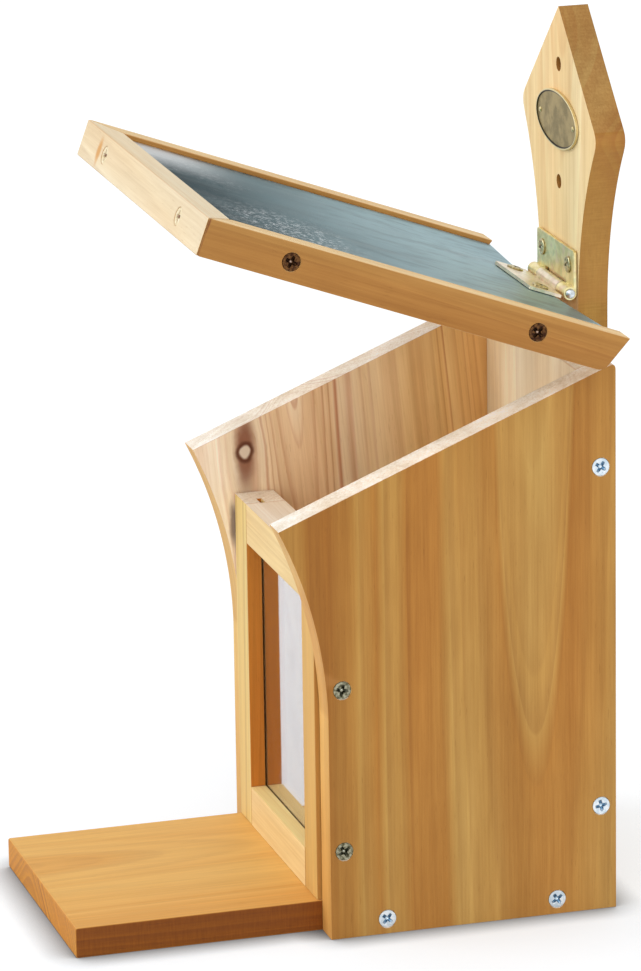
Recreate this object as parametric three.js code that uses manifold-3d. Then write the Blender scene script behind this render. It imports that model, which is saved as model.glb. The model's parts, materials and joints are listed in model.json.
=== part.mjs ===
// Squirrel feeder box in 12 mm softwood boards: two side panels with a swept front edge, a base board
// that runs forward as a perch, a framed clear window, a tall hanging board behind the box, and a
// sheet-covered lid on one butt hinge, shown standing open.
// Millimetres. +X is the right-hand side seen from the front, +Y is the back, +Z is up.
// The origin is under the middle of the whole object, on the surface that it stands on.

import * as THREE from 'three';
import { mergeVertices } from 'three/addons/utils/BufferGeometryUtils.js';
import Module from 'manifold-3d';

const wasm = await Module();
wasm.setup();

// Boards and the box
const boardThickness = 12;
const innerWidth = 109;
const sideDepth = 115;
const rearHeight = 218;
const tipHeight = 164;
const tipReach = 18.5;
const sweepRise = 79;
const rearCornerRound = 3;
const perchReach = 97.5;
const baseEdgeRound = 1;
const boardJoint = 0.1;

// Window frame and pane
const frameBar = 16;
const reachGap = 19;
const frameProud = 1.8;
const frameSideGap = 0.5;
const frameJoint = 0.3;
const paneThickness = 1.2;
const paneSlack = 0.3;
const grooveDepth = 6;
const grooveFromFront = 7;
const tongueThickness = 1.2;
const tongueBottomSlack = 0.5;
const paneEdgeSlack = 0.5;
const tongueFromEnd = 1.5;

// Hanging board: its apex stands above the back of the box, and the rest is measured down from there
const apexRise = 124;
const gableDrop = 44;
const shoulderHalfWidth = 45;
const shoulderRound = 5;
const neckHalfWidth = 22.5;
const flareDrop = 70;
const tailDrop = 148;
const tailRound = 6;
const hangingHoleRadius = 2.8;
const upperHoleDrop = 22.5;
const lowerHoleDrop = 24.5;

// Name plate, left bare
const plateHalfWidth = 23.8;
const plateHalfHeight = 11.2;
const plateThickness = 1.2;
const plateRim = 1;
const plateRecess = 0.4;
const platePinFromEnd = 4.5;
const platePin = { headRadius: 1.1, domeHeight: 0.5, shankRadius: 0.6, length: 6, clearance: 0.3 };

// Lid
const lidLength = 172.5;
const lidSideClearance = 10;
const lidRailThickness = 12;
const lidJoint = 0.3;
const lidSeatGap = 0.4;
const lidRearGap = 1;
const lidLip = 1.8;
const lidRearRound = 3;
const sheetThickness = 0.6;
const reliefDepth = 5.8;
const reliefMargin = 1;
const lidOpenDegrees = 42.2;

// Butt hinge
const hingeLength = 44;
const knuckleRadius = 2.6;
const leafThickness = 1.2;
const leafReach = 16.5;
const outerKnuckle = 9.7;
const knuckleGap = 0.3;
const leafCutGap = 0.6;
const hingePinRadius = 1.1;
const hingePinGap = 0.3;
const hingePinHeadRadius = 1.9;
const hingePinHeadHeight = 0.9;
const leafScrewFromEnd = 6.6;
const leafScrewFromEdge = 6.5;
const leafCornerRound = 1.5;

// Screws: a countersunk head with a cross slot, a shank and a point
const screwKinds = {
  board: { headRadius: 3.5, headDepth: 2.1, shankRadius: 1.75, length: 25, point: 3 },
  frame: { headRadius: 3.5, headDepth: 2.1, shankRadius: 1.75, length: 18, point: 3 },
  rear: { headRadius: 3.5, headDepth: 2.1, shankRadius: 1.75, length: 21, point: 3 },
  hinge: { headRadius: 2.7, headDepth: 1.1, shankRadius: 1.3, length: 10, point: 2, domeHeight: 0.6 },
};
const screwClearance = 0.3;
const headSink = 0.2;
const slotLengthShare = 0.58;
const slotWidthShare = 0.13;
const slotDepthShare = 0.7;

// Where the screws stand, each measured from the edge that it keeps to
const rearScrewRise = 42;
const rearScrewDrop = 40.5;
const baseScrewFromFront = 22.5;
const baseScrewFromBack = 12;
const frameScrewRise = 23;
const frameScrewDrop = 45.5;
const frameScrewFromFront = 7.5;
const hangingScrewDrops = [123, 73, 23];
const railScrewFromFront = 35.6;
const railScrewFromRear = 36;
const frontScrewFromEnd = 34.5;

// Facets
const roundSides = 14;
const arcSteps = 14;
const cornerSteps = 4;
const cutOverrun = 1;

// Sizes that follow from the ones above
const halfInner = innerWidth / 2;
const halfOuter = halfInner + boardThickness;
const roofPitch = Math.atan2(rearHeight - tipHeight, sideDepth + tipReach);
const sweepStart = tipHeight - sweepRise;
const sweepRadius = (sweepRise ** 2 + tipReach ** 2) / (2 * tipReach);
const backFront = sideDepth - boardThickness;
const frameHalf = halfInner - frameSideGap;
const frameBottom = boardThickness + boardJoint;
const frameTop = tipHeight - reachGap;
const windowHalf = frameHalf - frameBar;
const frameFront = -frameProud;
const frameRear = frameFront + frameBar;
const frameScrewDepth = frameFront + frameScrewFromFront;
const paneMiddle = frameFront + grooveFromFront;
const grooveHalf = paneThickness / 2 + paneSlack;
const tongueHalf = tongueThickness / 2;
const apexHeight = rearHeight + apexRise;
const shoulderHeight = apexHeight - gableDrop;
const lidHalf = halfOuter + lidSideClearance + lidRailThickness;
const lidBoardHalf = lidHalf - lidRailThickness - lidJoint;
const sheetTop = -knuckleRadius - lidJoint;
const lidBoardTop = sheetTop - sheetThickness - lidJoint;
const lidUnderside = lidBoardTop - boardThickness;
const railTop = sheetTop + lidLip;
const railMiddle = (railTop + lidUnderside) / 2;
const axisDepth = sideDepth - knuckleRadius - lidJoint;
const roofLineAtAxis = rearHeight - (sideDepth - axisDepth) * Math.tan(roofPitch);
const axisHeight = roofLineAtAxis + (lidSeatGap - lidUnderside) / Math.cos(roofPitch);
const lidRearTop = lidRearAt(railTop);
const lidFront = lidRearTop - lidLength;
const hingePinBore = hingePinRadius + hingePinGap;
const hingeHalf = hingeLength / 2;
const outerStart = hingeHalf - outerKnuckle;
const middleHalf = outerStart - knuckleGap;
const leafScrewOffset = hingeHalf - leafScrewFromEnd;
const leafScrewReach = leafReach - leafScrewFromEdge;
const openAngle = THREE.MathUtils.degToRad(lidOpenDegrees);
const middleOfDepth = (sideDepth + boardThickness - perchReach) / 2;
const quarterTurn = Math.PI / 2;

// Ways a screw can face
const facing = {
  right: [0, quarterTurn, 0],
  left: [0, -quarterTurn, 0],
  front: [quarterTurn, 0, 0],
  back: [-quarterTurn, 0, 0],
  up: [0, 0, 0],
};

// Finishes
const finishes = {
  panelWood: { color: 0xb88848, roughness: 0.62, metalness: 0 },
  perchWood: { color: 0xd89f5c, roughness: 0.66, metalness: 0 },
  paleWood: { color: 0xe8cf9c, roughness: 0.68, metalness: 0 },
  acrylic: { color: 0xeceef2, roughness: 0.08, metalness: 0, transparent: true, opacity: 0.35 },
  sheetSteel: { color: 0x8d9a9c, roughness: 0.34, metalness: 0.9 },
  hingeSteel: { color: 0xc2b680, roughness: 0.36, metalness: 0.9 },
  pinSteel: { color: 0xc9ccc6, roughness: 0.28, metalness: 1 },
  zincSteel: { color: 0xc4d2d8, roughness: 0.3, metalness: 0.95 },
  yellowSteel: { color: 0x8c8250, roughness: 0.38, metalness: 0.9 },
  bronzedSteel: { color: 0x6a5236, roughness: 0.42, metalness: 0.85 },
  plateMetal: { color: 0xaaa183, roughness: 0.4, metalness: 0.8 },
};

const model = new THREE.Group();
model.position.y = -middleOfDepth;
const lid = new THREE.Group();
lid.position.set(0, axisDepth, axisHeight);
lid.rotation.x = roofPitch - openAngle;
model.add(lid);

// Depth, in the lid's own frame, of its rear end at a height there: the end stands plumb when it is shut.
function lidRearAt(height) {
  const reach = sideDepth - lidRearGap - axisDepth;
  return (reach + height * Math.sin(roofPitch)) / Math.cos(roofPitch);
}

// A shape through the given corners
function outline(corners) {
  return new THREE.Shape(corners.map(([across, up]) => new THREE.Vector2(across, up)));
}

// A shape pushed straight along its own normal
function pushed(shape, depth, steps) {
  return new THREE.ExtrudeGeometry(shape, { depth, bevelEnabled: false, curveSegments: steps });
}

// A shape drawn in depth and height, run across from one X to another
function runAcross(shape, from, to, steps = arcSteps) {
  const turn = new THREE.Matrix4().makeBasis(
    new THREE.Vector3(0, 1, 0), new THREE.Vector3(0, 0, 1), new THREE.Vector3(1, 0, 0));
  return pushed(shape, to - from, steps).applyMatrix4(turn).translate(from, 0, 0);
}

// A shape drawn in width and height, run back from one Y to another
function runBack(shape, from, to, steps = arcSteps) {
  return pushed(shape, to - from, steps).rotateX(quarterTurn).translate(0, to, 0);
}

// A shape drawn in width and depth, run up from one Z to another
function runUp(shape, from, to, steps = arcSteps) {
  return pushed(shape, to - from, steps).translate(0, 0, from);
}

// A rectangular block between two corners
function block([x0, y0, z0], [x1, y1, z1]) {
  return runUp(outline([[x0, y0], [x1, y0], [x1, y1], [x0, y1]]), z0, z1);
}

// A closed geometry as a solid for cutting and joining
function toSolid(geometry) {
  const bare = geometry.clone();
  bare.deleteAttribute('normal');
  bare.deleteAttribute('uv');
  const merged = mergeVertices(bare);
  return new wasm.Manifold(new wasm.Mesh({
    numProp: 3,
    vertProperties: new Float32Array(merged.attributes.position.array),
    triVerts: new Uint32Array(merged.index.array),
  }));
}

// A solid back as a geometry
function toGeometry(solid) {
  const mesh = solid.getMesh();
  const geometry = new THREE.BufferGeometry();
  geometry.setAttribute('position', new THREE.BufferAttribute(mesh.vertProperties, mesh.numProp));
  geometry.setIndex(new THREE.BufferAttribute(mesh.triVerts, 1));
  geometry.computeVertexNormals();
  return geometry;
}

// One geometry with others taken out of it
function cut(geometry, tools) {
  return toGeometry(tools.reduce((solid, tool) => solid.subtract(toSolid(tool)), toSolid(geometry)));
}

// Several geometries joined into one
function join(geometries) {
  const [first, ...others] = geometries.map(toSolid);
  return toGeometry(others.reduce((solid, more) => solid.add(more), first));
}

// A geometry turned to face a way and moved to a place
function placed(geometry, place, turn) {
  const matrix = new THREE.Matrix4().makeRotationFromEuler(new THREE.Euler(...turn));
  return geometry.clone().applyMatrix4(matrix.setPosition(...place));
}

// One named piece with its finish, on the box or on the lid
function addPiece(parent, name, geometry, finish) {
  const mesh = new THREE.Mesh(geometry, new THREE.MeshStandardMaterial(finishes[finish]));
  mesh.name = name;
  parent.add(mesh);
  return mesh;
}

// A turned body standing along Z, from its outline as radius and height
function turned(profile) {
  const points = profile.map(([radius, height]) => new THREE.Vector2(radius, height));
  return new THREE.LatheGeometry(points, roundSides).rotateX(quarterTurn);
}

// Screw outline as radius and height, from the point up to the head face at zero
function screwProfile({ headRadius, headDepth, shankRadius, length, point, domeHeight = 0 }, spread = 0) {
  const headRoom = spread > 0 ? cutOverrun : domeHeight;
  return [
    [0, -length - spread],
    [shankRadius + spread, point - length],
    [shankRadius + spread, -headDepth - spread],
    [headRadius + spread, 0],
    ...(spread > 0 ? [[headRadius + spread, headRoom]] : []),
    [0, headRoom],
  ];
}

// One screw standing on the axis with its head face at zero, a cross slot cut in the head
function screw(kind) {
  const size = screwKinds[kind];
  const reach = size.headRadius * slotLengthShare;
  const half = size.headRadius * slotWidthShare;
  const floor = -size.headDepth * slotDepthShare;
  const roof = (size.domeHeight ?? 0) + cutOverrun;
  return cut(turned(screwProfile(size)), [
    block([-reach, -half, floor], [reach, half, roof]),
    block([-half, -reach, floor], [half, reach, roof]),
  ]);
}

// The hole that a screw stands in
function screwHole(kind) {
  return turned(screwProfile(screwKinds[kind], screwClearance));
}

// Every screw: its name, kind, finish, place and facing, on the box or on the lid
function listScrews() {
  const screws = [];
  const add = (name, kind, finish, place, way, holder = model) =>
    screws.push({ name, kind, finish, place, turn: facing[way], holder });
  for (const [side, sign] of [['left', -1], ['right', 1]]) {
    const face = sign * (halfOuter - headSink);
    const railFace = sign * (lidHalf - headSink);
    const frontX = sign * (lidHalf - frontScrewFromEnd);
    const onPanel = (name, kind, finish, depth, height) =>
      add(`${side}_${name}`, kind, finish, [face, depth, height], side);
    const levels = [
      ['lower', rearScrewRise, frameBottom + frameScrewRise],
      ['upper', rearHeight - rearScrewDrop, frameTop - frameScrewDrop],
    ];
    for (const [level, rearScrewHeight, frameScrewHeight] of levels) {
      onPanel(`rear_screw_${level}`, 'board', 'zincSteel', (backFront + sideDepth) / 2, rearScrewHeight);
      onPanel(`frame_screw_${level}`, 'frame', 'yellowSteel', frameScrewDepth, frameScrewHeight);
    }
    const ends = [
      ['front', baseScrewFromFront, lidFront + railScrewFromFront],
      ['rear', backFront - baseScrewFromBack, lidRearTop - railScrewFromRear],
    ];
    for (const [end, baseDepth, railDepth] of ends) {
      onPanel(`base_screw_${end}`, 'board', 'zincSteel', baseDepth, boardThickness / 2);
      add(`${side}_lid_rail_screw_${end}`, 'board', 'bronzedSteel',
        [railFace, railDepth, railMiddle], side, lid);
    }
    add(`front_rail_screw_${side}`, 'board', 'bronzedSteel',
      [frontX, lidFront + headSink, railMiddle], 'front', lid);
    const leafX = sign * leafScrewOffset;
    const leafFace = knuckleRadius - leafThickness;
    add(`board_leaf_screw_${side}`, 'hinge', 'zincSteel',
      [leafX, axisDepth + leafFace, axisHeight + leafScrewReach], 'front');
    add(`lid_leaf_screw_${side}`, 'hinge', 'zincSteel', [leafX, -leafScrewReach, -leafFace], 'up', lid);
  }
  hangingScrewDrops.forEach((drop, i) => {
    const hangingPlace = [0, sideDepth + boardThickness - headSink, rearHeight - drop];
    add(`hanging_board_screw_${i + 1}`, 'rear', 'zincSteel', hangingPlace, 'back');
  });
  return screws;
}

// The holes of every screw whose name starts with one of the given words
function holesFor(...starts) {
  return screwList
    .filter(({ name }) => starts.some((start) => name.startsWith(start)))
    .map(({ kind, place, turn }) => placed(screwHole(kind), place, turn));
}

// Side panel: upright back edge with a rounded top corner, sloping top, and a front edge that sweeps out
function sidePanel(side) {
  const sign = side === 'right' ? 1 : -1;
  const tipAngle = Math.asin(sweepRise / sweepRadius);
  const along = new THREE.Vector2(-rearCornerRound, 0).rotateAround(new THREE.Vector2(), roofPitch);
  const shape = new THREE.Shape()
    .moveTo(0, 0)
    .lineTo(sideDepth, 0)
    .lineTo(sideDepth, rearHeight - rearCornerRound)
    .quadraticCurveTo(sideDepth, rearHeight, sideDepth + along.x, rearHeight + along.y)
    .lineTo(-tipReach, tipHeight)
    .absarc(-sweepRadius, sweepStart, sweepRadius, tipAngle, 0, true);
  const near = sign * halfInner;
  const far = sign * halfOuter;
  const board = runAcross(shape, Math.min(near, far), Math.max(near, far));
  return cut(board, holesFor(`${side}_rear`, `${side}_frame`, `${side}_base`));
}

// Base board: lies between the side panels and runs forward as the perch, with its front edge eased
function baseBoard() {
  const half = halfInner - boardJoint;
  const ease = baseEdgeRound;
  const shape = new THREE.Shape()
    .moveTo(ease - perchReach, 0)
    .lineTo(backFront - boardJoint, 0)
    .lineTo(backFront - boardJoint, boardThickness)
    .lineTo(ease - perchReach, boardThickness)
    .quadraticCurveTo(-perchReach, boardThickness, -perchReach, boardThickness - ease)
    .lineTo(-perchReach, ease)
    .quadraticCurveTo(-perchReach, 0, ease - perchReach, 0);
  return cut(runAcross(shape, -half, half, cornerSteps), holesFor('left_base', 'right_base'));
}

// Back panel: stands between the side panels with its top bevelled to the roof line
function backPanel() {
  const half = halfInner - boardJoint;
  const frontHeight = rearHeight - boardThickness * Math.tan(roofPitch);
  const shape = outline([
    [backFront, 0], [sideDepth, 0], [sideDepth, rearHeight], [backFront, frontHeight],
  ]);
  return cut(runAcross(shape, -half, half), holesFor('left_rear', 'right_rear', 'hanging_board'));
}

// One half of the hanging board's outline, from the tail up to the apex; the other half mirrors it
function hangingOutline() {
  const neckHeight = shoulderHeight - flareDrop;
  const tailHeight = rearHeight - tailDrop;
  const flareWidth = shoulderHalfWidth - neckHalfWidth;
  const flareRadius = (flareDrop ** 2 + flareWidth ** 2) / (2 * flareWidth);
  const flareEnd = Math.asin((flareDrop - shoulderRound) / flareRadius);
  const gable = new THREE.Vector2(-shoulderHalfWidth, gableDrop).setLength(shoulderRound);
  const points = [];
  const collect = (path) => points.push(...path.getPoints(cornerSteps).map(({ x, y }) => [x, y]));
  collect(new THREE.QuadraticBezierCurve(
    new THREE.Vector2(neckHalfWidth - tailRound, tailHeight),
    new THREE.Vector2(neckHalfWidth, tailHeight),
    new THREE.Vector2(neckHalfWidth, tailHeight + tailRound)));
  for (let i = 0; i <= arcSteps; i += 1) {
    const angle = flareEnd * i / arcSteps;
    points.push([
      neckHalfWidth + flareRadius * (1 - Math.cos(angle)),
      neckHeight + flareRadius * Math.sin(angle),
    ]);
  }
  collect(new THREE.QuadraticBezierCurve(
    new THREE.Vector2(...points.pop()),
    new THREE.Vector2(shoulderHalfWidth, shoulderHeight),
    new THREE.Vector2(shoulderHalfWidth + gable.x, shoulderHeight + gable.y)));
  return points;
}

// Hanging board: a tail behind the box, a narrow neck, shoulders and a gable with two hanging holes
function hangingBoard() {
  const right = hangingOutline();
  const left = right.map(([across, up]) => [-across, up]).reverse();
  const shape = outline([...right, [0, apexHeight], ...left]);
  for (const height of [apexHeight - upperHoleDrop, shoulderHeight - lowerHoleDrop]) {
    shape.holes.push(new THREE.Path().absarc(0, height, hangingHoleRadius, 0, 2 * Math.PI, true));
  }
  const board = runBack(shape, sideDepth + boardJoint, sideDepth + boardThickness);
  return cut(board, [...holesFor('hanging_board', 'board_leaf'), ...platePinHoles()]);
}

// The places of the two pins that hold the name plate
function platePinPlaces() {
  const fieldDepth = sideDepth - plateThickness + plateRecess;
  const pinOffset = plateHalfWidth - platePinFromEnd;
  return [-1, 1].map((sign) => [sign * pinOffset, fieldDepth, shoulderHeight]);
}

// Holes for the pins of the name plate
function platePinHoles() {
  const { shankRadius, length, clearance } = platePin;
  const reach = length + clearance;
  const radius = shankRadius + clearance;
  const hole = new THREE.CylinderGeometry(radius, radius, reach, roundSides);
  return platePinPlaces().map(([x, y, z]) => hole.clone().translate(x, y + reach / 2, z));
}

// Bare oval plate with a raised rim
function namePlate() {
  const face = outlineOval(plateHalfWidth, plateHalfHeight);
  const field = outlineOval(plateHalfWidth - plateRim, plateHalfHeight - plateRim);
  const front = sideDepth - plateThickness;
  const plate = runBack(face, front, sideDepth, arcSteps * 2);
  const recess = runBack(field, front - cutOverrun, front + plateRecess, arcSteps * 2);
  return cut(plate, [recess, ...platePinHoles()]);
}

// An oval about the middle of the shoulders
function outlineOval(halfWidth, halfHeight) {
  return new THREE.Shape().absellipse(0, shoulderHeight, halfWidth, halfHeight, 0, 2 * Math.PI, false, 0);
}

// A small round-headed pin, its head face at zero
function roundPin({ headRadius, domeHeight, shankRadius, length }) {
  return turned([
    [0, -length], [shankRadius, -length], [shankRadius, 0], [headRadius, 0],
    [headRadius * Math.SQRT1_2, domeHeight * Math.SQRT1_2], [0, domeHeight],
  ]);
}

// Window stile, full height, with the groove along its inner edge; sign is -1 on the left, 1 on the right
function windowStile(sign) {
  const floor = windowHalf + grooveDepth;
  const corners = [
    [windowHalf, frameFront], [frameHalf, frameFront], [frameHalf, frameRear], [windowHalf, frameRear],
    [windowHalf, paneMiddle + grooveHalf], [floor, paneMiddle + grooveHalf],
    [floor, paneMiddle - grooveHalf], [windowHalf, paneMiddle - grooveHalf],
  ].map(([across, back]) => [sign * across, back]);
  const stile = runUp(outline(sign > 0 ? corners : corners.reverse()), frameBottom, frameTop);
  return cut(stile, holesFor(sign > 0 ? 'right_frame' : 'left_frame'));
}

// Window rail: the pane's groove along its window edge, and at each end a tongue that stands in a stile
function windowRail(outer, inner) {
  const way = Math.sign(inner - outer);
  const floor = inner - way * grooveDepth;
  const half = windowHalf - frameJoint;
  const reach = windowHalf + grooveDepth - tongueBottomSlack;
  const bar = block(
    [-half, frameFront, Math.min(outer, inner)],
    [half, frameRear, Math.max(outer, inner)]);
  const groove = block(
    [-half - cutOverrun, paneMiddle - grooveHalf, Math.min(floor, inner + way * cutOverrun)],
    [half + cutOverrun, paneMiddle + grooveHalf, Math.max(floor, inner + way * cutOverrun)]);
  const tongueEnds = [outer + way * tongueFromEnd, floor];
  const tongue = block(
    [-reach, paneMiddle - tongueHalf, Math.min(...tongueEnds)],
    [reach, paneMiddle + tongueHalf, Math.max(...tongueEnds)]);
  return join([cut(bar, [groove]), tongue]);
}

// Clear pane, held in the grooves all round
function windowPane() {
  const reach = grooveDepth - paneEdgeSlack;
  const half = windowHalf + reach;
  const front = paneMiddle - paneThickness / 2;
  const bottom = frameBottom + frameBar - reach;
  const top = frameTop - frameBar + reach;
  return block([-half, front, bottom], [half, front + paneThickness, top]);
}

// What the lid gives up at its back so that its middle clears the hinge; both ends run out to nothing
function lidRelief() {
  const rear = lidRearAt(sheetTop);
  const half = hingeHalf + reliefMargin;
  const past = rear + boardThickness;
  return runUp(outline([
    [-lidBoardHalf, rear], [-half, rear - reliefDepth], [half, rear - reliefDepth], [lidBoardHalf, rear],
    [lidBoardHalf, past], [-lidBoardHalf, past],
  ]), lidUnderside - cutOverrun, cutOverrun);
}

// Lid board: its rear end is plumb when the lid is shut
function lidBoard() {
  const front = lidFront + lidRailThickness + lidJoint;
  const shape = outline([
    [front, lidUnderside], [lidRearAt(lidUnderside), lidUnderside],
    [lidRearAt(lidBoardTop), lidBoardTop], [front, lidBoardTop],
  ]);
  const holes = holesFor('left_lid_rail', 'right_lid_rail', 'front_rail', 'lid_leaf');
  return cut(runAcross(shape, -lidBoardHalf, lidBoardHalf), [lidRelief(), ...holes]);
}

// Roof sheet: lies on the lid board inside the rails
function roofSheet() {
  const front = lidFront + lidRailThickness + lidJoint;
  const rear = lidRearAt(sheetTop);
  const sheet = block([-lidBoardHalf, front, sheetTop - sheetThickness], [lidBoardHalf, rear, sheetTop]);
  return cut(sheet, [lidRelief(), ...holesFor('lid_leaf')]);
}

// Side rail of the lid: mitred to the front rail, its rear end plumb when shut, the lower corner eased
function lidSideRail(side) {
  const sign = side === 'right' ? 1 : -1;
  const inner = lidHalf - lidRailThickness;
  const ease = lidRearRound;
  const corner = lidRearAt(lidUnderside);
  const slant = new THREE.Vector2(lidRearTop - corner, railTop - lidUnderside).setLength(ease);
  const shape = new THREE.Shape()
    .moveTo(lidFront, lidUnderside)
    .lineTo(corner - ease, lidUnderside)
    .quadraticCurveTo(corner, lidUnderside, corner + slant.x, lidUnderside + slant.y)
    .lineTo(lidRearTop, railTop)
    .lineTo(lidFront, railTop);
  const faces = [sign * inner, sign * lidHalf];
  const rail = runAcross(shape, Math.min(...faces), Math.max(...faces), cornerSteps);
  const gap = lidJoint / Math.SQRT2;
  const mitre = runUp(outline([
    [sign * (lidHalf + cutOverrun), lidFront - cutOverrun + gap],
    [sign * (inner - cutOverrun), lidFront + lidRailThickness + cutOverrun + gap],
    [sign * (inner - cutOverrun), lidFront - cutOverrun + gap],
  ]), lidUnderside - cutOverrun, railTop + cutOverrun);
  return cut(rail, [mitre, ...holesFor(`${side}_lid_rail`)]);
}

// Front rail of the lid, mitred at both ends
function lidFrontRail() {
  const gap = lidJoint / Math.SQRT2;
  const outer = lidHalf - gap;
  const inner = outer - lidRailThickness;
  const shape = outline([
    [-outer, lidFront], [outer, lidFront],
    [inner, lidFront + lidRailThickness], [-inner, lidFront + lidRailThickness],
  ]);
  return cut(runUp(shape, lidUnderside, railTop), holesFor('front_rail'));
}

// A length of rolled knuckle about the hinge axis, bored for the pin
function knuckle(from, to) {
  const ring = new THREE.Shape().absarc(0, 0, knuckleRadius, 0, 2 * Math.PI, false);
  ring.holes.push(new THREE.Path().absarc(0, 0, hingePinBore, 0, 2 * Math.PI, true));
  return runAcross(ring, from, to, roundSides);
}

// A hinge leaf lying flat under the axis and reaching forward, rolled round the pin over given lengths
function hingeLeaf(knuckles, screwTools) {
  const half = hingeHalf;
  const ease = leafCornerRound;
  const clear = knuckleRadius + leafCutGap;
  const [floor, roof] = [-knuckleRadius, leafThickness - knuckleRadius];
  const plate = runUp(new THREE.Shape()
    .moveTo(half, -clear)
    .lineTo(-half, -clear)
    .lineTo(-half, ease - leafReach)
    .quadraticCurveTo(-half, -leafReach, ease - half, -leafReach)
    .lineTo(half - ease, -leafReach)
    .quadraticCurveTo(half, -leafReach, half, ease - leafReach), floor, roof, cornerSteps);
  const circle = new THREE.Shape().absarc(0, 0, hingePinBore, 0, 2 * Math.PI, false);
  const bore = runAcross(circle, -half - cutOverrun, half + cutOverrun, roundSides);
  const webs = knuckles.map(([from, to]) => block([from, -clear - cutOverrun, floor], [to, 0, roof]));
  const rings = knuckles.map(([from, to]) => knuckle(from, to));
  return cut(join([plate, ...webs, ...rings]), [bore, ...screwTools]);
}

// Holes in a leaf that lies flat in front of the axis
function leafHoles() {
  return [-1, 1].map((sign) => placed(screwHole('hinge'),
    [sign * leafScrewOffset, -leafScrewReach, leafThickness - knuckleRadius], facing.up));
}

// Hinge pin with a headed end on both sides
function hingePin() {
  const headFrom = hingeHalf + hingePinGap;
  return turned([
    [0, -headFrom - hingePinHeadHeight], [hingePinHeadRadius, -headFrom - hingePinHeadHeight / 2],
    [hingePinHeadRadius, -headFrom], [hingePinRadius, -headFrom],
    [hingePinRadius, headFrom], [hingePinHeadRadius, headFrom],
    [hingePinHeadRadius, headFrom + hingePinHeadHeight / 2], [0, headFrom + hingePinHeadHeight],
  ]).rotateY(quarterTurn);
}

const screwList = listScrews();

addPiece(model, 'side_panel_left', sidePanel('left'), 'panelWood');
addPiece(model, 'side_panel_right', sidePanel('right'), 'panelWood');
addPiece(model, 'base_board', baseBoard(), 'perchWood');
addPiece(model, 'back_panel', backPanel(), 'paleWood');
addPiece(model, 'hanging_board', hangingBoard(), 'paleWood');

addPiece(model, 'window_stile_left', windowStile(-1), 'paleWood');
addPiece(model, 'window_stile_right', windowStile(1), 'paleWood');
addPiece(model, 'window_rail_bottom', windowRail(frameBottom, frameBottom + frameBar), 'paleWood');
addPiece(model, 'window_rail_top', windowRail(frameTop, frameTop - frameBar), 'paleWood');
addPiece(model, 'window_pane', windowPane(), 'acrylic');

addPiece(model, 'name_plate', namePlate(), 'plateMetal');
platePinPlaces().forEach((place, i) => {
  const pin = addPiece(model, `name_plate_pin_${i ? 'right' : 'left'}`, roundPin(platePin), 'pinSteel');
  pin.position.set(...place);
  pin.rotation.set(...facing.front);
});

addPiece(lid, 'lid_board', lidBoard(), 'panelWood');
addPiece(lid, 'roof_sheet', roofSheet(), 'sheetSteel');
addPiece(lid, 'lid_rail_left', lidSideRail('left'), 'panelWood');
addPiece(lid, 'lid_rail_right', lidSideRail('right'), 'panelWood');
addPiece(lid, 'lid_front_rail', lidFrontRail(), 'paleWood');

addPiece(lid, 'hinge_leaf_lid', hingeLeaf([[-middleHalf, middleHalf]], leafHoles()), 'hingeSteel');
const boardLeaf = addPiece(model, 'hinge_leaf_board',
  hingeLeaf([[-hingeHalf, -outerStart], [outerStart, hingeHalf]], leafHoles()), 'hingeSteel');
boardLeaf.position.copy(lid.position);
boardLeaf.rotation.set(quarterTurn, 0, Math.PI);
const pin = addPiece(model, 'hinge_pin', hingePin(), 'pinSteel');
pin.position.copy(lid.position);

for (const { name, kind, finish, place, turn, holder } of screwList) {
  const mesh = addPiece(holder, name, screw(kind), finish);
  mesh.position.set(...place);
  mesh.rotation.set(...turn);
}

export default model;
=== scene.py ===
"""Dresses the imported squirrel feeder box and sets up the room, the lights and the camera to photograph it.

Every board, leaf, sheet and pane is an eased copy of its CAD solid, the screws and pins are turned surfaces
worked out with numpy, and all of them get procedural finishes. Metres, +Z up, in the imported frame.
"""
from __future__ import annotations

import json
import logging
import math
from dataclasses import dataclass, field, replace
from enum import Enum
from functools import partialmethod
from typing import Callable, Iterator

import bmesh
import bpy
import numpy as np
from mathutils import Matrix, Vector

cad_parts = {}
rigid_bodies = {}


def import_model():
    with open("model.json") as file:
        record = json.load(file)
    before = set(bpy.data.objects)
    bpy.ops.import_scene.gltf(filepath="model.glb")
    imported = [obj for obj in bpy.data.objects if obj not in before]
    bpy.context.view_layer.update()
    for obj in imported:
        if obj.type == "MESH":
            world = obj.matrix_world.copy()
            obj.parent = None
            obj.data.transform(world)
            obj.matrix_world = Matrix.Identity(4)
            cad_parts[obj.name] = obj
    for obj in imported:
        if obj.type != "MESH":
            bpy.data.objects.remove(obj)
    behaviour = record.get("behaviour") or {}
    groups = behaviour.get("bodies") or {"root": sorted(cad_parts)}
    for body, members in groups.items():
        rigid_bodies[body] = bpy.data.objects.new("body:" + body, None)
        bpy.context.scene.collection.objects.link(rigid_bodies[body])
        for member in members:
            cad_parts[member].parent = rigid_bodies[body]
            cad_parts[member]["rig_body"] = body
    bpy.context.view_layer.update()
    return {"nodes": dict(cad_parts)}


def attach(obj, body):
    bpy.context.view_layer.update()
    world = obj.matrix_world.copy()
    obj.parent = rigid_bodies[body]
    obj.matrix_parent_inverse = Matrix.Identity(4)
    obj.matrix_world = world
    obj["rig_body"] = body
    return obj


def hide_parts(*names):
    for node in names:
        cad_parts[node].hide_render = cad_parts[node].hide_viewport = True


LOG = logging.getLogger("feeder")
MM = 0.001
LID_TILT = math.radians(-20.177)
LID_TURN = Matrix.Rotation(LID_TILT, 3, "X")
ORIGIN = (0.0, 0.0, 0.0)
MIDDLE = (0.5, 0.5, 0.5)
WHITE = (1.0, 1.0, 1.0, 1.0)
SPECK = (0.08, 0.07, 0.06, 1.0)
KNOT_RIM = "5a2f1c"
SIDES = ("left", "right")
Feed = "Value | float | tuple[float, ...] | str"
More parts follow.
